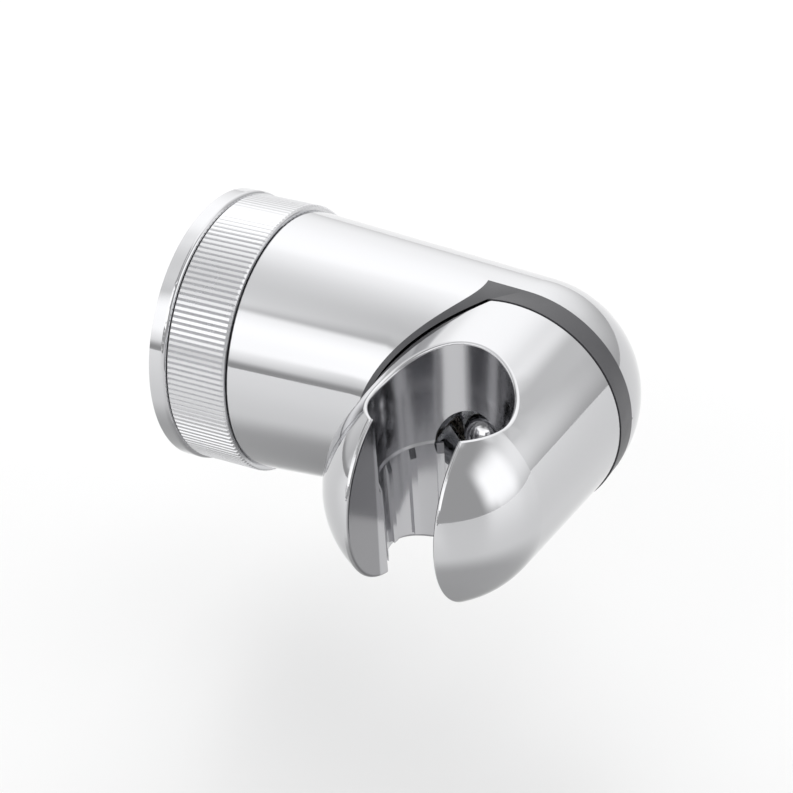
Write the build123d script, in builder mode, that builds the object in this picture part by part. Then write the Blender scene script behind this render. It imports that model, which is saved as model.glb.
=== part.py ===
from build123d import *
import math
import os

# Wall-fixed hand shower holder. Millimetres. The wall is the plane y = 0 and the origin is the
# centre of the wall plate's back face. The arm stands out of the wall along -Y, the cup points
# along -X from the arm's end, and the cup's bore is upright, along Z.

os.makedirs("parts", exist_ok=True)

# Driving sizes of the outside.
flange_r = 27.5            # chrome trim ring at the wall
flange_t = 3.4
ring_r = 27.0              # knurled locking ring over its ribs
ring_l = 12.75             # locking ring from back to front
arm_root_r = 26.0          # arm where it leaves the ring
arm_end_r = 22.6           # arm's ball end
arm_length = 66.0          # wall to the cup's turning axis
cup_foot_r = 22.4          # cup at the joint
cup_end_r = 20.8           # cup's ball end
cup_length = 34.5          # arm axis to the centre of the cup's ball end
joint_t = 5.0              # dark joint ring between arm and cup

# Named clearances.
flange_gap = 0.12          # trim ring's front face to the locking ring's back face
shadow_gap = 0.15          # locking ring's front face to the arm's shoulder
turn_gap = 0.3             # between curved faces that turn against each other
run_gap = 0.05             # radial play of a shaft in its bush
seat_gap = 0.3             # play round a part that drops into its seat
thread_gap = 0.3           # plain thread lands of ring and collar

# Walls.
arm_wall = 2.4
cup_wall = 2.6
floor_t = 3.0              # arm's floor under the joint ring
lip_t = 1.0                # joint ring's lip in the arm's recess

# The cup's bore, slot, screw recess and cored end.
bore_in = 2.0              # centre of the cup's ball end to the bore's axis
bore_mouth_r = 12.9        # bore at the cup's top
bore_foot_r = 11.3         # bore at the cup's underside
rim_round = 0.6            # rounding on the edges of bore and slot
bore_over = 1.6            # cutting body of the bore past the cup's skin
bore_step = 0.4            # lower half stands in by this
bore_step_z = 0.6          # height of that step
slot_w = 16.4              # way in for the hose
grip_rib_w = 1.3           # ribs that hold the handset's cone
grip_rib_h = 0.5
grip_rib_root = 0.5        # ribs' root inside the bore's wall
grip_rib_lead = 2.0        # height over which a rib rises out of the bore
grip_rib_end = 1.2         # ribs end this far inside the cup's skin
grip_rib_angles = (30.0, 57.0, 88.0, 116.0)    # from the back of the bore, both sides
recess_r = 6.8             # screw recess in the bore's back wall
recess_up = 0.8            # its centre above the turning axis
recess_floor = 11.6        # arm axis to the recess's floor
hub_wall = 2.3             # cup's hub round the joint ring's spigot
core_end = 12.0            # arm axis to the end of the cored space
core_ribs = 6
core_rib_t = 1.8

# Knurl of the locking ring.
rib_count = 150
rib_depth = 0.4
rib_land = 0.50            # share of the pitch on a rib's flat top
rib_run_out = 0.35         # bevel at both ends of the ribs

# Clamp at the wall.
plate_r = 26.0             # wall plate's disc
plate_t = 2.2
plate_floor_t = 4.0
collar_r = 24.3            # threaded collar
collar_wall = 3.0
collar_end = 8.0           # wall to the collar's end
gasket_w = 3.5             # between the gasket's edges
gasket_t = 1.0
gasket_edge = 0.4          # plate's back left outside the gasket's groove
brake_t = 0.6              # friction washer
base_flange_t = 3.4
base_neck_play = 0.7       # collar's bore to the arm base's neck
slip_t = 0.8               # slip ring
wall_hole_r = 2.4          # wall screws
wall_hole_head_r = 4.6
wall_hole_out = 14.0       # hole centre to the plate's centre
plate_rib_t = 1.6
plate_rib_h = 2.0
plate_ribs = 8
plate_boss_r = 6.0
plate_boss_bore_r = 3.5
plate_bevel = 0.4
flange_round = 0.8

# Arm base and its screws.
base_hub_r = 11.0          # hollow middle of the arm base
base_plug_t = 5.0
base_screw_floor = 1.0     # counterbore stops this far past the arm's back face
base_pocket_l = 9.0        # weight-saving pockets in the plug
base_pocket_w = 5.0
base_pocket_floor = 1.0
base_screws = 3
base_screw_out = 16.0
base_screw_r = 1.5
base_screw_head_r = 2.9
base_screw_head_t = 2.2
base_screw_reach = 9.0     # screw length inside the arm's boss
cross_l = 3.2              # cross recess in the screw heads
cross_w = 0.8
cross_round = 0.3
cross_depth = 1.4
screw_boss_r = 3.6
screw_boss_depth = 13.0
screw_boss_web = 2.0       # web from the boss to the arm's wall
screw_hole_end = 0.5       # hole past the screw's end
arm_root_round = 0.3

# Pivot of the cup.
pivot_r = 2.0              # M4 screw
pivot_head_r = 3.8
pivot_head_t = 1.8
cap_wall = 0.5
cap_rise = 5.2             # dome's top over the flat washer
cap_skirt = 1.4            # straight part of the cap
socket_flats = 2.5         # hexagonal socket in the screw's head
socket_depth = 1.2
screw_bevel = 0.4
screw_end = 0.8            # screw past the arm's nut boss
washer_r = 5.4
washer_t = 0.8
spring_t = 0.8
spring_edge = 0.4          # spring washer's rim inside the flat washer's
spring_slit = 0.6
spring_slit_turn = 25.0
bush_wall = 1.2
bush_flange_r = 5.6
bush_flange_t = 0.7
bush_foot = 0.5            # bush stops short of the arm's floor
spigot_r = 7.0             # joint ring's bearing spigot in the cup
spigot_h = 3.0
oring_mid_r = 15.4
oring_r = 1.1
oring_squeeze = 0.15
brake_disc_t = 2.0         # cup's friction disc
brake_pegs = 3             # pegs that key the disc to the cup's core
brake_peg_out = 14.0
brake_peg_r = 1.6
brake_peg_h = 3.0
disc_proud = 0.2           # joint ring's disc past the cup's foot
nut_flats = 7.0            # M4 nut
nut_t = 3.2
nut_pocket = 3.6           # depth of its hexagonal pocket
nut_boss_r = 8.0
nut_boss_h = 9.0           # from the floor's top into the arm
peg_r = 2.0                # joint ring's pegs in the arm's floor
peg_out = 14.5
peg_h = 2.4
peg_floor = 0.4            # floor left under the pegs' holes
floor_ribs = 4             # ribs under the arm's floor
floor_rib_t = 1.6
floor_rib_h = 3.0
floor_rib_gap = 2.0        # ribs' ends short of the ball's wall

# How an edge is told to lie in the cup's skin: a point part of the way along it, and its distance.
skin_sample = 0.37
skin_play = 0.02

# Worked out from the sizes above.
ring_back = flange_t + flange_gap
ring_front = ring_back + ring_l
bore_out = cup_length - bore_in
plate_bore_r = collar_r - collar_wall
gasket_out_r = plate_r - plate_bevel - gasket_edge - seat_gap
base_neck_r = plate_bore_r - base_neck_play
arm_root = ring_front + shadow_gap
cup_foot = joint_t + turn_gap
cup_slope = (cup_foot_r - cup_end_r) / (cup_length - cup_foot)
cup_lean = math.atan(cup_slope)
cup_ball_r = cup_end_r * math.cos(cup_lean)
recess_foot_r = cup_foot_r + cup_foot * cup_slope + turn_gap + lip_t
recess_rise = 26.0         # recess is cut this far out of the arm
recess_lip_r = recess_foot_r - recess_rise * cup_slope
arm_run = arm_length - arm_root
arm_lean = math.atan2(arm_root_r, arm_run) - math.asin(arm_end_r / math.hypot(arm_root_r, arm_run))

turn_axis = Axis((0, -arm_length, 0), (-1, 0, 0))
bore_axis = Axis((-bore_out, -arm_length, 0), (0, 0, 1))
bore_plane = Plane(origin=(-bore_out, -arm_length, 0), x_dir=(-1, 0, 0), z_dir=(0, 1, 0))


def away(distance):
    """Plane that faces away from the wall, at a distance from it."""
    return Plane(origin=(0, -distance, 0), x_dir=(1, 0, 0), z_dir=(0, -1, 0))


def outward(distance):
    """Plane across the cup's turning axis, at a distance from the arm's axis."""
    return Plane(origin=(-distance, -arm_length, 0), x_dir=(0, -1, 0), z_dir=(-1, 0, 0))


def bullet(root, root_r, centre, end_r, lean):
    """Half outline of a tapered bar with a ball end: distances along the axis and radii."""
    touch = (end_r * math.cos(lean), centre + end_r * math.sin(lean))
    half = (math.pi / 2 + lean) / 2
    middle = (end_r * math.cos(half), centre + end_r * math.sin(half))
    return (0, root), (root_r, root), touch, middle, (0, centre + end_r)


# Wall plate: a moulded disc with the threaded collar that the locking ring runs on. A groove in its
# back takes the gasket, and ribs stiffen the floor that the two wall screws hold.
with BuildPart() as wall_plate:
    with BuildSketch(away(0)):
        Circle(plate_r)
    extrude(amount=plate_t)
    with BuildSketch(away(0)):
        Circle(collar_r)
    extrude(amount=collar_end)
    with BuildSketch(away(plate_floor_t)):
        Circle(plate_bore_r)
    extrude(amount=collar_end, mode=Mode.SUBTRACT)
    with BuildSketch(away(0)):
        Circle(gasket_out_r + seat_gap)
        Circle(gasket_out_r - gasket_w - seat_gap, mode=Mode.SUBTRACT)
    extrude(amount=gasket_t, mode=Mode.SUBTRACT)
    with BuildSketch(away(plate_floor_t)):
        with PolarLocations((plate_bore_r + plate_boss_r) / 2, plate_ribs, start_angle=180 / plate_ribs):
            Rectangle(plate_bore_r - plate_boss_r + plate_rib_t, plate_rib_t)
        Circle(plate_boss_r)
        Circle(plate_boss_bore_r, mode=Mode.SUBTRACT)
    extrude(amount=plate_rib_h)
    with Locations(away(plate_floor_t)):
        with Locations((0, wall_hole_out), (0, -wall_hole_out)):
            CounterSinkHole(wall_hole_r, wall_hole_head_r, depth=plate_floor_t + plate_rib_h)
    chamfer(wall_plate.edges().filter_by(GeomType.CIRCLE).group_by(Axis.Y)[0], plate_bevel)
wall_plate.part.label = "wall_plate"

# Wall gasket: a flat rubber ring in the plate's back.
with BuildPart() as wall_gasket:
    with BuildSketch(away(0)):
        Circle(gasket_out_r)
        Circle(gasket_out_r - gasket_w, mode=Mode.SUBTRACT)
    extrude(amount=gasket_t)
wall_gasket.part.label = "wall_gasket"

# Wall flange: a chromed trim ring over the plate's rim, held between the plate and the wall.
with BuildPart() as wall_flange:
    with BuildSketch(away(0)):
        Circle(flange_r)
        Circle(collar_r + seat_gap, mode=Mode.SUBTRACT)
    extrude(amount=flange_t)
    with BuildSketch(away(0)):
        Circle(plate_r + seat_gap)
    extrude(amount=plate_t, mode=Mode.SUBTRACT)
    fillet(wall_flange.edges().filter_by(GeomType.CIRCLE).group_by(Axis.Y)[0].sort_by(SortBy.LENGTH)[-1], flange_round)
wall_flange.part.label = "wall_flange"

# Locking ring: a chromed union nut. Its thread runs on the plate's collar and its lip draws the arm
# base's flange on to the collar. Straight ribs all round give grip and run out on a bevel.
rib_pitch = 360.0 / rib_count
slip_seat = collar_end + brake_t + base_flange_t + slip_t
knurl = []
for tooth in range(rib_count):
    for part_turn, radius in ((-0.5, ring_r - rib_depth), (-rib_land / 2, ring_r), (rib_land / 2, ring_r)):
        angle = math.radians((tooth + part_turn) * rib_pitch)
        knurl.append((radius * math.cos(angle), radius * math.sin(angle)))
with BuildPart() as knurled_ring:
    with BuildSketch(away(ring_back)):
        Polygon(*knurl, align=None)
    extrude(amount=ring_front - ring_back)
    with BuildSketch(Plane.XY):
        with BuildLine():
            Polyline(
                (0, -ring_back),
                (ring_r - rib_run_out, -ring_back),
                (ring_r, -ring_back - rib_run_out),
                (ring_r, -ring_front + rib_run_out),
                (ring_r - rib_run_out, -ring_front),
                (0, -ring_front),
                close=True,
            )
        make_face()
    revolve(axis=Axis.Y, mode=Mode.INTERSECT)
    with BuildSketch(away(ring_back)):
        Circle(collar_r + thread_gap)
    extrude(amount=slip_seat - ring_back, mode=Mode.SUBTRACT)
    with BuildSketch(away(ring_back)):
        Circle(base_neck_r + turn_gap)
    extrude(amount=ring_front, mode=Mode.SUBTRACT)
knurled_ring.part.label = "knurled_ring"

# Slip ring: lets the locking ring turn without dragging the arm with it.
with BuildPart() as slip_ring:
    with BuildSketch(away(slip_seat - slip_t)):
        Circle(collar_r - seat_gap)
        Circle(base_neck_r + turn_gap, mode=Mode.SUBTRACT)
    extrude(amount=slip_t)
slip_ring.part.label = "slip_ring"

# Friction washer: holds the arm against turning once the locking ring is tight.
with BuildPart() as friction_washer:
    with BuildSketch(away(collar_end)):
        Circle(collar_r - seat_gap)
        Circle(plate_bore_r, mode=Mode.SUBTRACT)
    extrude(amount=brake_t)
friction_washer.part.label = "friction_washer"

# Arm base: a moulded spool. Its flange sits between the two washers, its neck passes the locking
# ring's lip, and its plug closes the hollow arm. Three deep counterbores take the screws.
base_back = collar_end + brake_t
base_plug_end = arm_root + base_plug_t
base_screw_seat = arm_root + base_screw_floor
arm_inner_r = arm_root_r - arm_wall
base_plug_r = arm_inner_r - base_plug_t * math.tan(arm_lean) - seat_gap
with BuildPart() as arm_base:
    with BuildSketch(away(base_back)):
        Circle(collar_r - seat_gap)
    extrude(amount=base_flange_t)
    with BuildSketch(away(base_back)):
        Circle(base_neck_r)
    extrude(amount=base_plug_end - base_back)
    with BuildSketch(away(arm_root)):
        Circle(base_plug_r)
    extrude(amount=base_plug_t)
    with BuildSketch(away(base_back)):
        Circle(base_hub_r)
    extrude(amount=base_plug_end, mode=Mode.SUBTRACT)
    with Locations(away(base_back)):
        with PolarLocations(base_screw_out, base_screws, start_angle=90):
            CounterBoreHole(
                base_screw_r + seat_gap, base_screw_head_r + seat_gap, base_screw_seat - base_back,
                depth=base_plug_end - base_back + base_screw_floor
            )
    with BuildSketch(away(base_plug_end)):
        with PolarLocations((base_hub_r + base_plug_r) / 2, base_screws, start_angle=30):
            SlotOverall(base_pocket_l, base_pocket_w, rotation=90)
    extrude(amount=base_pocket_floor - base_plug_t, mode=Mode.SUBTRACT)
arm_base.part.label = "arm_base"

# Arm base screws: three pan-head screws into the arm's bosses. All three are one node.
with BuildPart() as arm_base_screws:
    with BuildSketch(away(base_screw_seat - base_screw_head_t)):
        with PolarLocations(base_screw_out, base_screws, start_angle=90):
            Circle(base_screw_head_r)
    extrude(amount=base_screw_head_t)
    with BuildSketch(away(base_screw_seat)):
        with PolarLocations(base_screw_out, base_screws, start_angle=90):
            Circle(base_screw_r)
    extrude(amount=base_plug_end - base_screw_seat + base_screw_reach)
    with BuildSketch(away(base_screw_seat - base_screw_head_t)):
        with PolarLocations(base_screw_out, base_screws, start_angle=90):
            RectangleRounded(cross_l, cross_w, cross_round)
            RectangleRounded(cross_w, cross_l, cross_round)
    extrude(amount=cross_depth, mode=Mode.SUBTRACT)
arm_base_screws.part.label = "arm_base_screws"

# Outside of the arm, for the arm itself and to trim the joint ring's lip flush with it.
inner_end_r = arm_end_r - arm_wall
outer_root, outer_edge, outer_touch, outer_mid, outer_tip = bullet(
    arm_root, arm_root_r, arm_length, arm_end_r, arm_lean
)
inner_root, inner_edge, inner_touch, inner_mid, inner_tip = bullet(
    arm_root, arm_inner_r, arm_length, inner_end_r, arm_lean
)
with BuildPart() as arm_outline:
    with BuildSketch(Plane.XY):
        with BuildLine():
            Line((0, -outer_root[1]), (outer_edge[0], -outer_edge[1]))
            Line((outer_edge[0], -outer_edge[1]), (outer_touch[0], -outer_touch[1]))
            ThreePointArc(
                (outer_touch[0], -outer_touch[1]), (outer_mid[0], -outer_mid[1]), (0, -outer_tip[1])
            )
            Line((0, -outer_tip[1]), (0, -outer_root[1]))
        make_face()
    revolve(axis=Axis.Y)

# Hollow of the arm: the outline drawn in by the wall, cleared from the joint's floor and from the
# wall round the joint's recess.
with BuildPart() as arm_hollow:
    with BuildSketch(Plane.XY):
        with BuildLine():
            Line((0, -inner_root[1]), (inner_edge[0], -inner_edge[1]))
            Line((inner_edge[0], -inner_edge[1]), (inner_touch[0], -inner_touch[1]))
            ThreePointArc(
                (inner_touch[0], -inner_touch[1]), (inner_mid[0], -inner_mid[1]), (0, -inner_tip[1])
            )
            Line((0, -inner_tip[1]), (0, -inner_root[1]))
        make_face()
    revolve(axis=Axis.Y)
    with BuildSketch(Plane.XY):
        with BuildLine():
            Polyline(
                (floor_t, -arm_length),
                (floor_t, -arm_length + recess_foot_r + arm_wall),
                (-recess_rise, -arm_length + recess_lip_r + arm_wall),
                (-recess_rise, -arm_length),
                close=True,
            )
        make_face()
    revolve(axis=turn_axis, mode=Mode.SUBTRACT)

# Arm: a hollow chromed bar with a ball end. A tapered recess at right angles takes the joint ring,
# and a boss under its floor holds the pivot's nut.
with BuildPart() as arm:
    add(arm_outline.part)
    with BuildSketch(Plane.XY):
        with BuildLine():
            Polyline(
                (0, -arm_length),
                (0, -arm_length + recess_foot_r),
                (-recess_rise, -arm_length + recess_lip_r),
                (-recess_rise, -arm_length),
                close=True,
            )
        make_face()
    revolve(axis=turn_axis, mode=Mode.SUBTRACT)
    add(arm_hollow.part, mode=Mode.SUBTRACT)
    with BuildSketch(outward(0)):
        Circle(nut_boss_r)
    extrude(amount=-nut_boss_h)
    with BuildSketch(outward(0)):
        Circle(pivot_r + seat_gap)
        with PolarLocations(peg_out, 2, start_angle=90):
            Circle(peg_r + seat_gap / 2)
    extrude(amount=peg_floor - floor_t, mode=Mode.SUBTRACT)
    with BuildSketch(outward(0)):
        Circle(pivot_r + seat_gap)
    extrude(amount=-nut_boss_h, mode=Mode.SUBTRACT)
    with BuildSketch(outward(-nut_boss_h)):
        RegularPolygon(nut_flats / 2 + run_gap, 6, major_radius=False)
    extrude(amount=nut_pocket, mode=Mode.SUBTRACT)
    with BuildSketch(outward(-floor_t)):
        with PolarLocations((nut_boss_r + inner_end_r) / 2 - floor_rib_gap, floor_ribs, start_angle=45):
            Rectangle(inner_end_r - nut_boss_r - floor_rib_gap, floor_rib_t)
    extrude(amount=-floor_rib_h)
    with BuildSketch(away(base_plug_end)):
        with PolarLocations(base_screw_out, base_screws, start_angle=90):
            Circle(screw_boss_r)
            with Locations(((arm_inner_r - base_screw_out) / 2, 0)):
                Rectangle(arm_inner_r - base_screw_out + screw_boss_web, screw_boss_web)
    extrude(amount=screw_boss_depth)
    with BuildSketch(away(base_plug_end)):
        with PolarLocations(base_screw_out, base_screws, start_angle=90):
            Circle(base_screw_r)
    extrude(amount=base_screw_reach + screw_hole_end, mode=Mode.SUBTRACT)
    fillet(arm.edges().filter_by(GeomType.CIRCLE).group_by(Axis.Y)[-1].sort_by(SortBy.LENGTH)[-1], arm_root_round)
arm.part.label = "arm_shell"

# Joint ring: dark moulded seat. A tapered lip lines the arm's recess and ends flush with the arm, a
# disc fills the gap to the cup, and its spigot centres the cup. Two pegs stop it turning.
with BuildPart() as joint_ring:
    with BuildSketch(Plane.XY):
        with BuildLine():
            Polyline(
                (0, -arm_length),
                (0, -arm_length + recess_foot_r),
                (-recess_rise, -arm_length + recess_lip_r),
                (-recess_rise, -arm_length),
                close=True,
            )
        make_face()
    revolve(axis=turn_axis)
    add(arm_outline.part, mode=Mode.INTERSECT)
    with BuildSketch(Plane.XY):
        with BuildLine():
            Polyline(
                (0, -arm_length),
                (0, -arm_length + arm_end_r),
                (-joint_t, -arm_length + cup_foot_r + disc_proud),
                (-joint_t, -arm_length),
                close=True,
            )
        make_face()
    revolve(axis=turn_axis)
    with BuildSketch(Plane.XY):
        with BuildLine():
            Polyline(
                (-joint_t, -arm_length),
                (-joint_t, -arm_length + recess_foot_r - lip_t - joint_t * cup_slope),
                (-recess_rise - lip_t, -arm_length + recess_lip_r - lip_t - lip_t * cup_slope),
                (-recess_rise - lip_t, -arm_length),
                close=True,
            )
        make_face()
    revolve(axis=turn_axis, mode=Mode.SUBTRACT)
    with BuildSketch(outward(joint_t)):
        Circle(spigot_r)
    extrude(amount=spigot_h)
    with BuildSketch(outward(joint_t)):
        Circle(oring_mid_r + oring_r)
        Circle(oring_mid_r - oring_r, mode=Mode.SUBTRACT)
    extrude(amount=-2 * oring_r + oring_squeeze, mode=Mode.SUBTRACT)
    with BuildSketch(outward(0)):
        with PolarLocations(peg_out, 2, start_angle=90):
            Circle(peg_r)
    extrude(amount=-peg_h)
    with BuildSketch(outward(0)):
        Circle(pivot_r + bush_wall + run_gap)
    extrude(amount=joint_t + spigot_h, mode=Mode.SUBTRACT)
joint_ring.part.label = "joint_ring"

# Joint O-ring: gives the cup its drag when it is tilted.
with BuildPart() as joint_oring:
    with BuildSketch(Plane.XY):
        with Locations((-joint_t + oring_r - oring_squeeze, -arm_length + oring_mid_r)):
            Circle(oring_r - oring_squeeze)
    revolve(axis=turn_axis)
joint_oring.part.label = "joint_oring"

# Cup friction disc: slides on the joint ring and closes the cored end of the cup.
disc_r = cup_foot_r - cup_wall - seat_gap
hub_r = spigot_r + turn_gap + hub_wall
with BuildPart() as cup_disc:
    with BuildSketch(outward(joint_t)):
        Circle(disc_r)
        Circle(hub_r + seat_gap, mode=Mode.SUBTRACT)
    extrude(amount=brake_disc_t)
    with BuildSketch(outward(joint_t + brake_disc_t)):
        with PolarLocations(brake_peg_out, brake_pegs, start_angle=30):
            Circle(brake_peg_r)
    extrude(amount=brake_peg_h)
cup_disc.part.label = "cup_friction_disc"

# Outside of the cup, and the same shape drawn in by the distance at which the grip ribs end.
cup_root, cup_edge, cup_touch, cup_mid, cup_tip = bullet(
    cup_foot, cup_foot_r, cup_length, cup_ball_r, cup_lean
)
with BuildPart() as cup_outline:
    with BuildSketch(Plane.XY):
        with BuildLine():
            Line((-cup_root[1], -arm_length), (-cup_edge[1], -arm_length + cup_edge[0]))
            Line(
                (-cup_edge[1], -arm_length + cup_edge[0]),
                (-cup_touch[1], -arm_length + cup_touch[0])
            )
            ThreePointArc(
                (-cup_touch[1], -arm_length + cup_touch[0]),
                (-cup_mid[1], -arm_length + cup_mid[0]),
                (-cup_tip[1], -arm_length)
            )
            Line((-cup_tip[1], -arm_length), (-cup_root[1], -arm_length))
        make_face()
    revolve(axis=turn_axis)

limit_root, limit_edge, limit_touch, limit_mid, limit_tip = bullet(
    cup_foot, cup_foot_r - grip_rib_end, cup_length, cup_ball_r - grip_rib_end, cup_lean
)
with BuildPart() as rib_limit:
    with BuildSketch(Plane.XY):
        with BuildLine():
            Line((-limit_root[1], -arm_length), (-limit_edge[1], -arm_length + limit_edge[0]))
            Line(
                (-limit_edge[1], -arm_length + limit_edge[0]),
                (-limit_touch[1], -arm_length + limit_touch[0])
            )
            ThreePointArc(
                (-limit_touch[1], -arm_length + limit_touch[0]),
                (-limit_mid[1], -arm_length + limit_mid[0]),
                (-limit_tip[1], -arm_length)
            )
            Line((-limit_tip[1], -arm_length), (-limit_root[1], -arm_length))
        make_face()
    revolve(axis=turn_axis)

# Grip ribs of the cup: narrow uprights in the bore's lower half that the handset's cone wedges on.
bore_reach = cup_foot_r + bore_over    # half height of the bore's cutting body
bore_slope = (bore_mouth_r - bore_foot_r) / (2 * cup_end_r)
bore_mid_r = (bore_mouth_r + bore_foot_r) / 2
bore_low_r = bore_mid_r - bore_step
grip_rib_spread = 2 * (grip_rib_h + grip_rib_root + bore_reach * bore_slope)
with BuildPart() as grip_ribs:
    with BuildSketch(Plane.XY.offset(-bore_reach)):
        with Locations((-bore_out, -arm_length)):
            for side in (-1, 1):
                for rib_angle in grip_rib_angles:
                    with PolarLocations(bore_low_r, 1, start_angle=side * rib_angle):
                        Rectangle(grip_rib_spread, grip_rib_w)
    extrude(amount=bore_reach + bore_step_z)
    with BuildSketch(bore_plane):
        with BuildLine():
            Polyline(
                (bore_low_r - grip_rib_h - bore_reach * bore_slope, -bore_reach),
                (bore_low_r - grip_rib_h - grip_rib_lead * bore_slope, bore_step_z - grip_rib_lead),
                (bore_low_r, bore_step_z),
                (bore_low_r + grip_rib_root, bore_step_z),
                (bore_low_r + grip_rib_root - bore_reach * bore_slope, -bore_reach),
                close=True,
            )
        make_face()
    revolve(axis=bore_axis, mode=Mode.INTERSECT)
    add(rib_limit.part, mode=Mode.INTERSECT)


def on_cup_skin(edge):
    """True for the edges that bore and slot leave in the cup's outside."""
    point = edge.position_at(skin_sample)
    out = -point.X
    skin_r = cup_foot_r - (out - cup_foot) * cup_slope
    if out > cup_touch[1]:
        skin_r = math.sqrt(max(cup_ball_r ** 2 - (out - cup_length) ** 2, 0.0))
    from_skin = abs(math.hypot(point.Y + arm_length, point.Z) - skin_r)
    return from_skin < skin_play and edge.bounding_box().size.X > skin_play


# Cup: a chromed block with a ball end. The tapered bore crosses it, the slot opens the bore through
# the ball end into two prongs, and the end at the joint is cored out round a hub.
with BuildPart() as cup:
    add(cup_outline.part)
    with BuildSketch(bore_plane):
        with BuildLine():
            Polyline(
                (0, -bore_reach),
                (bore_low_r - bore_reach * bore_slope, -bore_reach),
                (bore_low_r + bore_step_z * bore_slope, bore_step_z),
                (bore_mid_r + (bore_step_z + bore_step) * bore_slope, bore_step_z + bore_step),
                (bore_mid_r + bore_reach * bore_slope, bore_reach),
                (0, bore_reach),
                close=True,
            )
        make_face()
    revolve(axis=bore_axis, mode=Mode.SUBTRACT)
    with BuildSketch(outward(bore_out)):
        Rectangle(slot_w, 2 * bore_reach)
    extrude(amount=bore_reach, mode=Mode.SUBTRACT)
    fillet(cup.edges().filter_by(on_cup_skin), rim_round)
    with BuildSketch(outward(recess_floor)):
        with Locations((0, recess_up)):
            Circle(recess_r)
    extrude(amount=bore_out - recess_floor, mode=Mode.SUBTRACT)
    with BuildSketch(outward(cup_foot)):
        Circle(cup_foot_r - cup_wall)
        Circle(hub_r, mode=Mode.SUBTRACT)
    extrude(amount=core_end - cup_foot, mode=Mode.SUBTRACT)
    with BuildSketch(outward(joint_t + brake_disc_t)):
        with PolarLocations((hub_r + cup_foot_r - cup_wall) / 2, core_ribs):
            Rectangle(cup_foot_r - cup_wall - hub_r + core_rib_t / 2, core_rib_t)
    extrude(amount=core_end - joint_t - brake_disc_t)
    with BuildSketch(outward(cup_foot)):
        Circle(spigot_r + turn_gap)
    extrude(amount=joint_t + spigot_h + turn_gap - cup_foot, mode=Mode.SUBTRACT)
    with BuildSketch(outward(cup_foot)):
        Circle(pivot_r + bush_wall)
    extrude(amount=recess_floor, mode=Mode.SUBTRACT)
    add(grip_ribs.part)
cup.part.label = "handset_cup"

# Pivot bush: flanged brass sleeve in the cup's web. It turns with the cup in the joint ring.
with BuildPart() as pivot_bush:
    with BuildSketch(outward(bush_foot)):
        Circle(pivot_r + bush_wall)
    extrude(amount=recess_floor - bush_foot)
    with BuildSketch(outward(recess_floor)):
        Circle(bush_flange_r)
    extrude(amount=bush_flange_t)
    with BuildSketch(outward(bush_foot)):
        Circle(pivot_r + run_gap)
    extrude(amount=recess_floor + bush_flange_t, mode=Mode.SUBTRACT)
pivot_bush.part.label = "pivot_bush"

# Spring washer: one split turn that keeps the joint under load as it wears.
spring_seat = recess_floor + bush_flange_t
with BuildPart() as spring_washer:
    with BuildSketch(outward(spring_seat)):
        Circle(washer_r - spring_edge)
        Circle(pivot_r + seat_gap, mode=Mode.SUBTRACT)
        with Locations((0, (washer_r + pivot_r) / 2)):
            Rectangle(spring_slit, washer_r, rotation=-spring_slit_turn, mode=Mode.SUBTRACT)
    extrude(amount=spring_t)
spring_washer.part.label = "spring_washer"

# Flat washer under the screw's head.
washer_seat = spring_seat + spring_t
with BuildPart() as flat_washer:
    with BuildSketch(outward(washer_seat)):
        Circle(washer_r)
        Circle(pivot_r + seat_gap, mode=Mode.SUBTRACT)
    extrude(amount=washer_t)
flat_washer.part.label = "flat_washer"

# Pivot screw: low cap head with a hexagonal socket, through cup, joint ring and arm floor.
head_seat = washer_seat + washer_t
with BuildPart() as pivot_screw:
    with BuildSketch(outward(head_seat)):
        Circle(pivot_head_r)
    extrude(amount=pivot_head_t)
    with BuildSketch(outward(head_seat)):
        Circle(pivot_r)
    extrude(amount=-head_seat - nut_boss_h - screw_end)
    chamfer(pivot_screw.edges().filter_by(GeomType.CIRCLE).group_by(Axis.X)[-1], screw_bevel)
    with BuildSketch(outward(head_seat + pivot_head_t)):
        RegularPolygon(socket_flats / 2, 6, major_radius=False)
    extrude(amount=-socket_depth, mode=Mode.SUBTRACT)
pivot_screw.part.label = "pivot_screw"

# Screw cap: polished dome pressed over the screw's head.
cap_r = pivot_head_r + cap_wall
dome_rise = cap_rise - cap_skirt
dome_r = (cap_r ** 2 + dome_rise ** 2) / (2 * dome_rise)
dome_half = math.asin(cap_r / dome_r) / 2
dome_middle = (head_seat + cap_rise - dome_r + dome_r * math.cos(dome_half), dome_r * math.sin(dome_half))
with BuildPart() as screw_cap:
    with BuildSketch(Plane.XY):
        with BuildLine():
            Line((-head_seat, -arm_length), (-head_seat, -arm_length + cap_r))
            Line((-head_seat, -arm_length + cap_r), (-head_seat - cap_skirt, -arm_length + cap_r))
            ThreePointArc(
                (-head_seat - cap_skirt, -arm_length + cap_r),
                (-dome_middle[0], -arm_length + dome_middle[1]),
                (-head_seat - cap_rise, -arm_length)
            )
            Line((-head_seat - cap_rise, -arm_length), (-head_seat, -arm_length))
        make_face()
    revolve(axis=turn_axis)
    with BuildSketch(outward(head_seat)):
        Circle(pivot_head_r)
    extrude(amount=pivot_head_t, mode=Mode.SUBTRACT)
screw_cap.part.label = "screw_cap"

# Pivot nut: hexagonal, held against turning in the arm's boss.
nut_seat = -nut_boss_h + nut_pocket
with BuildPart() as pivot_nut:
    with BuildSketch(outward(nut_seat)):
        RegularPolygon(nut_flats / 2, 6, major_radius=False)
        Circle(pivot_r, mode=Mode.SUBTRACT)
    extrude(amount=-nut_t)
pivot_nut.part.label = "pivot_nut"

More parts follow.
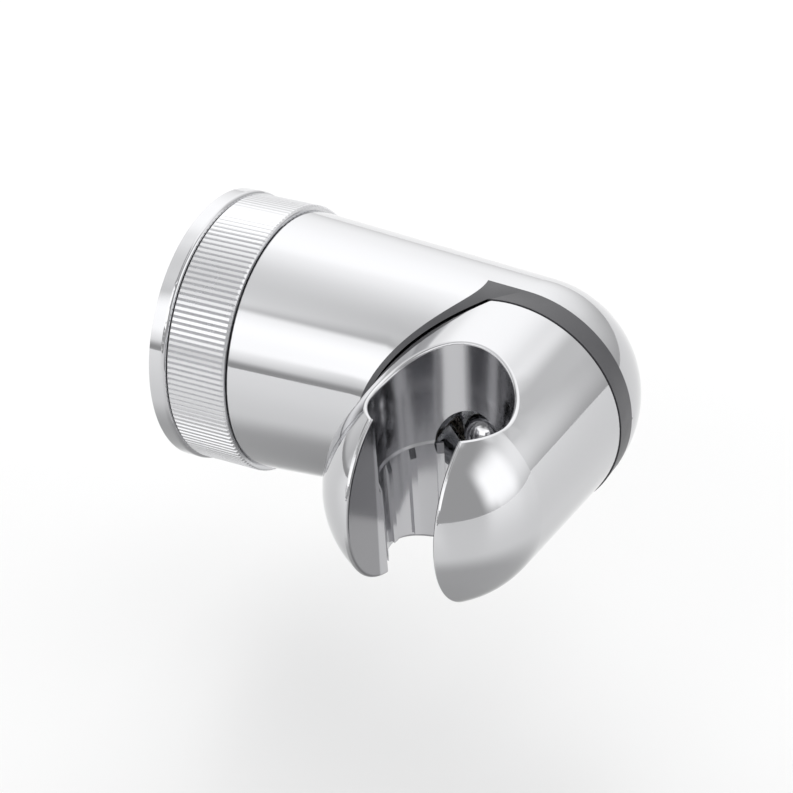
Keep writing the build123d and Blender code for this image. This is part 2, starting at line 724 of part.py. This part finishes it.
export_step(wall_plate.part, "parts/wall_plate.step")
export_step(wall_gasket.part, "parts/wall_gasket.step")
export_step(wall_flange.part, "parts/wall_flange.step")
export_step(knurled_ring.part, "parts/knurled_ring.step")
export_step(slip_ring.part, "parts/slip_ring.step")
export_step(friction_washer.part, "parts/friction_washer.step")
export_step(arm_base.part, "parts/arm_base.step")
export_step(arm_base_screws.part, "parts/arm_base_screws.step")
export_step(arm.part, "parts/arm_shell.step")
export_step(joint_ring.part, "parts/joint_ring.step")
export_step(joint_oring.part, "parts/joint_oring.step")
export_step(cup_disc.part, "parts/cup_friction_disc.step")
export_step(cup.part, "parts/handset_cup.step")
export_step(pivot_bush.part, "parts/pivot_bush.step")
export_step(spring_washer.part, "parts/spring_washer.step")
export_step(flat_washer.part, "parts/flat_washer.step")
export_step(pivot_screw.part, "parts/pivot_screw.step")
export_step(screw_cap.part, "parts/screw_cap.step")
export_step(pivot_nut.part, "parts/pivot_nut.step")
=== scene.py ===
import math

import bpy
from mathutils import Matrix, Vector

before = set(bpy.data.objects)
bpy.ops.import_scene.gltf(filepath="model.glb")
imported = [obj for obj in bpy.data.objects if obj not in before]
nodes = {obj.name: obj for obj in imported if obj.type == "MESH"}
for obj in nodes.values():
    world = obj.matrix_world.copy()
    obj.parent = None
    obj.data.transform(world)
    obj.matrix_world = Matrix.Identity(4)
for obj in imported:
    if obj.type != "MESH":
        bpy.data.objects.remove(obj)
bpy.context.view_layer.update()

scene = bpy.context.scene
scene.view_settings.view_transform = "Standard"

# Studio. Pale walls and ceiling with large soft boxes round the holder, and two darker gaps
# between them. Polished plating shows these boxes, so each is placed by its direction in
# degrees: turned from the arm's own direction towards the cup's side, and raised from the table.
wall_level = 0.51
ceiling_level = 1.60
ceiling_start = 0.877      # rise of the direction at which the ceiling sets in
ceiling_full = 0.927
soft_boxes = (
    # turned, raised, half width, half height, side softness, end softness, level
    ("right_box", 91.6, 31.3, 30.5, 16.4, 0.02, 0.05, 1.89),
    ("left_box", -117.7, 46.2, 30.5, 41.1, 0.41, 0.80, 1.75),
    ("ceiling_behind_left", -134.4, 82.1, 47.5, 20.5, 0.32, 0.08, 1.59),
    ("ceiling_behind_right", 120.0, 64.6, 30.4, 20.7, 0.32, 0.40, 1.04),
    ("gap_behind", 177.5, 34.5, 31.1, 13.9, 0.39, 0.20, 0.22),
    ("gap_over_right_box", 98.3, 68.4, 8.2, 18.6, 0.21, 0.09, 0.11),
    ("wall_behind", 199.9, 12.6, 19.6, 10.5, 0.74, 0.12, 1.04),
    ("low_box_right", 139.4, 19.7, 32.2, 14.9, 0.16, 0.28, 1.69),
    ("table_edge", 130.0, 1.0, 65.0, 3.0, 0.30, 0.05, 0.44),
    ("pale_wall_left", -19.9, 20.1, 25.1, 20.2, 0.07, 0.34, 1.37),
    ("far_left_wall", -80.5, 28.1, 28.1, 12.8, 0.80, 0.60, 1.33),
    ("front_box", -3.3, 20.8, 19.1, 19.3, 0.15, 0.23, 1.74),
)
least_forward = 0.02       # directions flatter to a box than this miss it
chrome_bounces = 12        # reflections between the cup's walls
light_bounces = 16


def direction(turned, raised):
    """Unit vector towards a place in the studio."""
    turned, raised = math.radians(turned), math.radians(raised)
    flat = math.cos(raised)
    return Vector((-math.sin(turned) * flat, -math.cos(turned) * flat, math.sin(raised)))


def feed(tree, value, socket):
    """Set a socket to a number or vector, or link an output to it."""
    if isinstance(value, bpy.types.NodeSocket):
        tree.links.new(value, socket)
    else:
        socket.default_value = value


def math_node(tree, operation, *values):
    node = tree.nodes.new("ShaderNodeMath")
    node.operation = operation
    for socket, value in zip(node.inputs, values):
        feed(tree, value, socket)
    return node.outputs[0]


def dot_node(tree, first, second):
    node = tree.nodes.new("ShaderNodeVectorMath")
    node.operation = "DOT_PRODUCT"
    feed(tree, first, node.inputs[0])
    feed(tree, second, node.inputs[1])
    return node.outputs["Value"]


def range_node(tree, value, start, end, low=0.0, high=1.0):
    """Smooth step from low, where value is at start, to high, where it is at end."""
    node = tree.nodes.new("ShaderNodeMapRange")
    node.interpolation_type = "SMOOTHSTEP"
    feed(tree, value, node.inputs["Value"])
    feed(tree, start, node.inputs["From Min"])
    feed(tree, end, node.inputs["From Max"])
    feed(tree, low, node.inputs["To Min"])
    feed(tree, high, node.inputs["To Max"])
    return node.outputs["Result"]


def new_group(name, inputs, outputs):
    """Shader node group with named sockets, its given values and its result node."""
    group = bpy.data.node_groups.new(name, "ShaderNodeTree")
    for label, kind in inputs:
        group.interface.new_socket(label, in_out="INPUT", socket_type=kind)
    for label, kind in outputs:
        group.interface.new_socket(label, in_out="OUTPUT", socket_type=kind)
    given = group.nodes.new("NodeGroupInput").outputs
    result = group.nodes.new("NodeGroupOutput").inputs
    return group, given, result


def place_group(tree, group, **values):
    """Place a node group with its own values. Underscores in the names stand for spaces."""
    node = tree.nodes.new("ShaderNodeGroup")
    node.node_tree = group
    for label, value in values.items():
        feed(tree, value, node.inputs[label.replace("_", " ")])
    return node.outputs


soft_box, given, result = new_group(
    "soft_box",
    (
        ("Direction", "NodeSocketVector"),
        ("Facing", "NodeSocketVector"),
        ("Across", "NodeSocketVector"),
        ("Upright", "NodeSocketVector"),
        ("Half Width", "NodeSocketFloat"),
        ("Half Height", "NodeSocketFloat"),
        ("Side Softness", "NodeSocketFloat"),
        ("End Softness", "NodeSocketFloat"),
    ),
    (("Mask", "NodeSocketFloat"),),
)
forward = dot_node(soft_box, given["Direction"], given["Facing"])
mask = math_node(soft_box, "GREATER_THAN", forward, least_forward)
safe_forward = math_node(soft_box, "MAXIMUM", forward, least_forward)
sides = (("Across", "Half Width", "Side Softness"), ("Upright", "Half Height", "End Softness"))
for axis, half, soft in sides:
    offset = dot_node(soft_box, given["Direction"], given[axis])
    size = math_node(soft_box, "ABSOLUTE", math_node(soft_box, "DIVIDE", offset, safe_forward))
    outer = math_node(soft_box, "ADD", given[half], given[soft])
    inner = math_node(soft_box, "SUBTRACT", given[half], given[soft])
    mask = math_node(soft_box, "MULTIPLY", mask, range_node(soft_box, size, outer, inner))
feed(soft_box, mask, result["Mask"])

world = bpy.data.worlds.new("studio")
world.use_nodes = True
scene.world = world
studio = world.node_tree
looking = studio.nodes.new("ShaderNodeTexCoord").outputs["Generated"]
split = studio.nodes.new("ShaderNodeSeparateXYZ")
feed(studio, looking, split.inputs[0])


def blend_levels(below, above, share):
    """Brightness below where share is 0 and above where it is 1."""
    node = studio.nodes.new("ShaderNodeMix")
    node.data_type = "FLOAT"
    feed(studio, below, node.inputs["A"])
    feed(studio, above, node.inputs["B"])
    feed(studio, share, node.inputs["Factor"])
    return node.outputs["Result"]


rise = range_node(studio, split.outputs["Z"], ceiling_start, ceiling_full)
level = blend_levels(wall_level, ceiling_level, rise)
for name, turned, raised, half_w, half_h, side_soft, end_soft, box_level in soft_boxes:
    facing = direction(turned, raised)
    across = Vector((-math.cos(math.radians(turned)), math.sin(math.radians(turned)), 0.0))
    box = place_group(
        studio,
        soft_box,
        Direction=looking,
        Facing=facing,
        Across=across,
        Upright=across.cross(facing),
        Half_Width=math.tan(math.radians(half_w)),
        Half_Height=math.tan(math.radians(half_h)),
        Side_Softness=side_soft,
        End_Softness=end_soft,
    )
    level = blend_levels(level, box_level, box["Mask"])
feed(studio, level, studio.nodes["Background"].inputs["Color"])
scene.cycles.max_bounces = light_bounces
scene.cycles.glossy_bounces = chrome_bounces

# Table. A satin white board below the holder, low enough for the cup to swing over it. A painted
# sheen, an emission that grows towards low angles, brightens it, so that it is white to the
# camera and still takes the holder's shadow, and greyer where the plating looks down.
table_half = 3.0
table_drop = 0.0575        # arm's axis to the board
table_colour = (0.52, 0.52, 0.52, 1.0)
table_satin = 0.32
# Painted sheen: the board glows in this colour, more the flatter it is seen.
painted_sheen_colour = (1.0, 1.0, 1.0, 1.0)
painted_sheen_level = 0.36
painted_sheen_start = 0.14         # from straight on at 0 to edge on at 1
painted_sheen_full = 0.38


def new_material(name):
    """Material with its node tree and its Principled shader."""
    material = bpy.data.materials.new(name)
    material.use_nodes = True
    return material, material.node_tree, material.node_tree.nodes["Principled BSDF"]


board = bpy.data.meshes.new("table")
signs = ((-1, -1), (1, -1), (1, 1), (-1, 1))
corners = [(table_half * x, table_half * y, -table_drop) for x, y in signs]
board.from_pydata(corners, [], [(0, 1, 2, 3)])
table = bpy.data.objects.new("table", board)
scene.collection.objects.link(table)
table_white, tree, shader = new_material("table_white")
shader.inputs["Base Color"].default_value = table_colour
shader.inputs["Roughness"].default_value = table_satin
shader.inputs["Emission Color"].default_value = painted_sheen_colour
# Painted sheen: emission that rises from straight on to low angles.
grazing = tree.nodes.new("ShaderNodeLayerWeight").outputs["Facing"]
painted_sheen_glow = range_node(tree, grazing, painted_sheen_start, painted_sheen_full, 0.0, painted_sheen_level)
feed(tree, painted_sheen_glow, shader.inputs["Emission Strength"])
board.materials.append(table_white)

# Camera. It stands to the left of the holder and above it, with a long lens.
camera_place = Vector((-0.317779, -0.217063, 0.219894))
camera_right = Vector((0.466994, -0.883376, -0.039544))
camera_up = Vector((0.484389, 0.218145, 0.847219))
camera_back = Vector((-0.739787, -0.414801, 0.529770))
sensor_width = 36.0
lens = 99.2
nearest_seen = 0.01

camera_data = bpy.data.cameras.new("catalogue_camera")
camera_data.sensor_width = sensor_width
camera_data.lens = lens
camera_data.clip_start = nearest_seen
camera = bpy.data.objects.new("catalogue_camera", camera_data)
turn = Matrix((camera_right, camera_up, camera_back)).transposed().to_4x4()
camera.matrix_world = Matrix.Translation(camera_place) @ turn
scene.collection.objects.link(camera)
scene.camera = camera

# Wall plate and arm base. The plate is a disc moulded in grey glass-filled nylon, with the
# threaded collar for the locking ring. Two countersunk screws through its floor hold it on the
# wall. The arm base is a spool of the same nylon, screwed into the arm. Both keep the mould's
# spark-eroded grain.
nylon_light = (0.32, 0.33, 0.34, 1.0)
nylon_dark = (0.26, 0.27, 0.28, 1.0)
shade_patch = 1.0 / 70.0   # width of a patch of one shade
patch_detail = 3.0
grain_detail = 2.0
shade_low = 0.35           # noise levels between which the shade and the roughness change
shade_high = 0.65
noise_low = 0.3
noise_high = 0.7


def noise_node(tree, place, scale, detail, output="Fac"):
    node = tree.nodes.new("ShaderNodeTexNoise")
    feed(tree, place, node.inputs["Vector"])
    feed(tree, scale, node.inputs["Scale"])
    node.inputs["Detail"].default_value = detail
    return node.outputs[output]


def mix_colours(tree, first, second, share):
    node = tree.nodes.new("ShaderNodeMix")
    node.data_type = "RGBA"
    feed(tree, first, node.inputs["A"])
    feed(tree, second, node.inputs["B"])
    feed(tree, share, node.inputs["Factor"])
    return node.outputs["Result"]


def bump(tree, shader, height, depth):
    """Raise the shader's surface by height, in shares of depth metres."""
    node = tree.nodes.new("ShaderNodeBump")
    node.inputs["Strength"].default_value = 1.0
    node.inputs["Distance"].default_value = depth
    feed(tree, height, node.inputs["Height"])
    feed(tree, node.outputs["Normal"], shader.inputs["Normal"])


def finish_nodes(material, *names):
    """Give CAD nodes their material."""
    for name in names:
        nodes[name].data.materials.clear()
        nodes[name].data.materials.append(material)


# Grain of a spark-eroded mould: pits about one Grain Size wide, over a slow drift in shade.
mould_grain, given, result = new_group(
    "mould_grain",
    (
        ("Grain Size", "NodeSocketFloat"),
        ("Smoothest", "NodeSocketFloat"),
        ("Roughest", "NodeSocketFloat"),
    ),
    (
        ("Shade", "NodeSocketFloat"),
        ("Roughness", "NodeSocketFloat"),
        ("Height", "NodeSocketFloat"),
    ),
)
place = mould_grain.nodes.new("ShaderNodeTexCoord").outputs["Object"]
grain_scale = math_node(mould_grain, "DIVIDE", 1.0, given["Grain Size"])
grain = noise_node(mould_grain, place, grain_scale, grain_detail)
drift = noise_node(mould_grain, place, 1.0 / shade_patch, patch_detail)
feed(mould_grain, range_node(mould_grain, drift, shade_low, shade_high), result["Shade"])
smoothest, roughest = given["Smoothest"], given["Roughest"]
rough = range_node(mould_grain, drift, noise_low, noise_high, smoothest, roughest)
feed(mould_grain, rough, result["Roughness"])
feed(mould_grain, grain, result["Height"])


def moulded(name, light, dark, grain_size, smoothest, roughest, depth):
    """Moulded plastic or rubber: two near shades, its grain and its roughness."""
    material, tree, shader = new_material(name)
    grain = place_group(
        tree, mould_grain, Grain_Size=grain_size, Smoothest=smoothest, Roughest=roughest
    )
    feed(tree, mix_colours(tree, light, dark, grain["Shade"]), shader.inputs["Base Color"])
    feed(tree, grain["Roughness"], shader.inputs["Roughness"])
    bump(tree, shader, grain["Height"], depth)
    return material


plate_nylon = moulded(
    "plate_nylon",
    nylon_light,
    nylon_dark,
    grain_size=0.0004,
    smoothest=0.42,
    roughest=0.55,
    depth=0.00003,
)
finish_nodes(plate_nylon, "wall_plate", "arm_base")

# Seals. The wall gasket and the friction washer are punched from black nitrile rubber sheet, and
# the joint's O-ring is moulded in it. They lie in their seats, held only by what clamps them,
# and have a dull bloom.
rubber_light = (0.050, 0.050, 0.052, 1.0)
rubber_dark = (0.028, 0.028, 0.029, 1.0)

seal_rubber = moulded(
    "seal_rubber",
    rubber_light,
    rubber_dark,
    grain_size=0.0003,
    smoothest=0.62,
    roughest=0.80,
    depth=0.00002,
)
finish_nodes(seal_rubber, "wall_gasket", "friction_washer", "joint_oring")

# Wall flange and arm. The flange is a thin trim ring over the plate's rim, and the arm a hollow
# shell that ends in a half ball. Both are moulded in ABS and plated with bright chrome, which
# keeps a very slight ripple and a faint haze that comes and goes.
chrome_colour = (0.570, 0.572, 0.584, 1.0)
haze_least = 0.035
haze_most = 0.075
haze_patch = 1.0 / 45.0
haze_detail = 4.0
ripple_pitch = 0.011
ripple_detail = 0.0
ripple_depth = 0.000012

plating, given, result = new_group(
    "plating",
    (
        ("Clearest", "NodeSocketFloat"),
        ("Haziest", "NodeSocketFloat"),
        ("Ripple Pitch", "NodeSocketFloat"),
    ),
    (("Roughness", "NodeSocketFloat"), ("Height", "NodeSocketFloat")),
)
place = plating.nodes.new("ShaderNodeTexCoord").outputs["Object"]
haze = noise_node(plating, place, 1.0 / haze_patch, haze_detail)
clearest, haziest = given["Clearest"], given["Haziest"]
rough = range_node(plating, haze, noise_low, noise_high, clearest, haziest)
feed(plating, rough, result["Roughness"])
ripple_scale = math_node(plating, "DIVIDE", 1.0, given["Ripple Pitch"])
feed(plating, noise_node(plating, place, ripple_scale, ripple_detail), result["Height"])


def plated(name, colour, clearest, haziest):
    """Bright chrome with the same ripple and its own haze."""
    material, tree, shader = new_material(name)
    plate = place_group(
        tree, plating, Clearest=clearest, Haziest=haziest, Ripple_Pitch=ripple_pitch
    )
    shader.inputs["Base Color"].default_value = colour
    shader.inputs["Metallic"].default_value = 1.0
    feed(tree, plate["Roughness"], shader.inputs["Roughness"])
    bump(tree, shader, plate["Height"], ripple_depth)
    return material, tree, shader


bright_chrome = plated("bright_chrome", chrome_colour, haze_least, haze_most)[0]
finish_nodes(bright_chrome, "wall_flange", "arm_shell")

# Screw cap. A small plated dome, snapped over the pivot screw's head in the cup's bore. It was
# plated in a barrel, so it is less clear than the large parts.
cap_haze_least = 0.10
cap_haze_most = 0.16

cap_chrome = plated("cap_chrome", chrome_colour, cap_haze_least, cap_haze_most)[0]
finish_nodes(cap_chrome, "screw_cap")

# Locking ring. A straight-knurled union nut moulded in ABS and plated, which screws onto the
# plate's collar. Its ribs scatter what they reflect, so their plating is less clear, and painted
# light makes its colour paler than the other chrome's.
# Painted light: a paler copy of the chrome colour for the ribbed plating.
ribbed_painted_light_colour = (0.670, 0.672, 0.685, 1.0)
rib_haze_least = 0.24
rib_haze_most = 0.31

ribbed_chrome = plated("ribbed_chrome", ribbed_painted_light_colour, rib_haze_least, rib_haze_most)[0]
finish_nodes(ribbed_chrome, "knurled_ring")

# Cup. One ABS moulding with the tapered bore and the slot for the hose, plated and held by the
# pivot screw. Its plating is hazier down the bore and on the slot's sides, and painted shade
# darkens the bore's wall and, more deeply, the slot's sides.
bore_out = 0.0325          # arm's axis to the bore's
bore_along = -0.066        # wall to the bore's axis
bore_dark_r = 0.0128
bore_light_r = 0.0134
# Painted shade: the bore's wall and the slot's sides get darker base colours than the skin.
bore_shade_colour = (0.49, 0.49, 0.505, 1.0)
bore_haze = 0.17
slot_dark_half = 0.00828
slot_light_half = 0.00855
slot_start = 0.002         # slot's shade sets in over this length past the bore's axis
slot_shade_colour = (0.27, 0.27, 0.28, 1.0)

cup_chrome, tree, shader = plated("cup_chrome", chrome_colour, haze_least, haze_most)
place = tree.nodes.new("ShaderNodeTexCoord").outputs["Object"]
apart = tree.nodes.new("ShaderNodeSeparateXYZ")
feed(tree, place, apart.inputs[0])
from_bore = math_node(tree, "ADD", apart.outputs["X"], bore_out)
from_middle = math_node(tree, "SUBTRACT", apart.outputs["Y"], bore_along)
square_x = math_node(tree, "POWER", from_bore, 2.0)
square_y = math_node(tree, "POWER", from_middle, 2.0)
bore_reach = math_node(tree, "SQRT", math_node(tree, "ADD", square_x, square_y))
outside = range_node(tree, bore_reach, bore_dark_r, bore_light_r)
aside = math_node(tree, "ABSOLUTE", from_middle)
between = range_node(tree, aside, slot_light_half, slot_dark_half)
beyond = range_node(tree, apart.outputs["X"], -bore_out, -bore_out - slot_start)
in_slot = math_node(tree, "MULTIPLY", between, beyond)
slot_shade_mask = math_node(tree, "MULTIPLY", in_slot, outside)
# The base colour carries the painted shade of the bore and, darker still, of the slot's sides.
bore_shade_to_skin = mix_colours(tree, bore_shade_colour, chrome_colour, outside)
cup_colour = mix_colours(tree, bore_shade_to_skin, slot_shade_colour, slot_shade_mask)
feed(tree, cup_colour, shader.inputs["Base Color"])
skin_haze = shader.inputs["Roughness"].links[0].from_socket
haze = range_node(tree, outside, 0.0, 1.0, bore_haze, skin_haze)
cup_haze = range_node(tree, slot_shade_mask, 0.0, 1.0, haze, bore_haze)
feed(tree, cup_haze, shader.inputs["Roughness"])
finish_nodes(cup_chrome, "handset_cup")

# Joint ring. The dark seat between arm and cup, moulded in charcoal acetal with a satin face. Its
# pegs press into the arm's floor, and the cup turns on its spigot.
charcoal_light = (0.070, 0.070, 0.076, 1.0)
charcoal_dark = (0.050, 0.050, 0.055, 1.0)

joint_acetal = moulded(
    "joint_acetal",
    charcoal_light,
    charcoal_dark,
    grain_size=0.0005,
    smoothest=0.30,
    roughest=0.40,
    depth=0.000012,
)
finish_nodes(joint_acetal, "joint_ring")

# Slip ring and cup friction disc. Both are moulded in natural white acetal, which slides dry on
# chrome and nylon. The slip ring lies loose under the locking ring's lip, and the disc is keyed
# into the cup's cored end.
acetal_light = (0.86, 0.86, 0.83, 1.0)
acetal_dark = (0.80, 0.80, 0.77, 1.0)

white_acetal = moulded(
    "white_acetal",
    acetal_light,
    acetal_dark,
    grain_size=0.0005,
    smoothest=0.35,
    roughest=0.48,
    depth=0.00001,
)
finish_nodes(white_acetal, "slip_ring", "cup_friction_disc")

# Pivot bush, washers, screws and nut. The bush is turned from brass bar and pressed into the
# cup. The rest is stainless steel: the pivot's screw, its two washers and its nut hold the cup
# on the arm, and three screws hold the arm base. All keep fine lathe marks round the turning
# axis.
brass_colour = (0.40, 0.36, 0.29, 1.0)
steel_colour = (0.66, 0.67, 0.68, 1.0)
turning_axis = (0.0, bore_along, 0.0)
lathe_pitch = 0.00012
lathe_depth = 0.000004
wander_patch = 1.0 / 1200.0
wander_detail = 2.0

lathe_marks, given, result = new_group(
    "lathe_marks",
    (
        ("Axis Place", "NodeSocketVector"),
        ("Mark Pitch", "NodeSocketFloat"),
        ("Smoothest", "NodeSocketFloat"),
        ("Roughest", "NodeSocketFloat"),
    ),
    (("Roughness", "NodeSocketFloat"), ("Height", "NodeSocketFloat")),
)
place = lathe_marks.nodes.new("ShaderNodeTexCoord").outputs["Object"]
from_axis = lathe_marks.nodes.new("ShaderNodeVectorMath")
from_axis.operation = "SUBTRACT"
feed(lathe_marks, place, from_axis.inputs[0])
feed(lathe_marks, given["Axis Place"], from_axis.inputs[1])
apart = lathe_marks.nodes.new("ShaderNodeSeparateXYZ")
feed(lathe_marks, from_axis.outputs["Vector"], apart.inputs[0])
square_y = math_node(lathe_marks, "POWER", apart.outputs["Y"], 2.0)
square_z = math_node(lathe_marks, "POWER", apart.outputs["Z"], 2.0)
square = math_node(lathe_marks, "ADD", square_y, square_z)
reach = math_node(lathe_marks, "ADD", math_node(lathe_marks, "SQRT", square), apart.outputs["X"])
turns = math_node(lathe_marks, "DIVIDE", reach, given["Mark Pitch"])
mark = math_node(lathe_marks, "SINE", math_node(lathe_marks, "MULTIPLY", turns, 2.0 * math.pi))
wander = noise_node(lathe_marks, place, 1.0 / wander_patch, wander_detail)
feed(lathe_marks, math_node(lathe_marks, "MULTIPLY", mark, wander), result["Height"])
smoothest, roughest = given["Smoothest"], given["Roughest"]
rough = range_node(lathe_marks, wander, noise_low, noise_high, smoothest, roughest)
feed(lathe_marks, rough, result["Roughness"])


def turned_metal(name, colour, smoothest, roughest):
    """Bar metal with lathe marks round the cup's turning axis."""
    material, tree, shader = new_material(name)
    marks = place_group(
        tree,
        lathe_marks,
        Axis_Place=turning_axis,
        Mark_Pitch=lathe_pitch,
        Smoothest=smoothest,
        Roughest=roughest,
    )
    shader.inputs["Base Color"].default_value = colour
    shader.inputs["Metallic"].default_value = 1.0
    feed(tree, marks["Roughness"], shader.inputs["Roughness"])
    bump(tree, shader, marks["Height"], lathe_depth)
    return material


bush_brass = turned_metal("bush_brass", brass_colour, smoothest=0.22, roughest=0.34)
finish_nodes(bush_brass, "pivot_bush")
screw_steel = turned_metal("screw_steel", steel_colour, smoothest=0.20, roughest=0.32)
finish_nodes(
    screw_steel, "arm_base_screws", "spring_washer", "flat_washer", "pivot_screw", "pivot_nut"
)
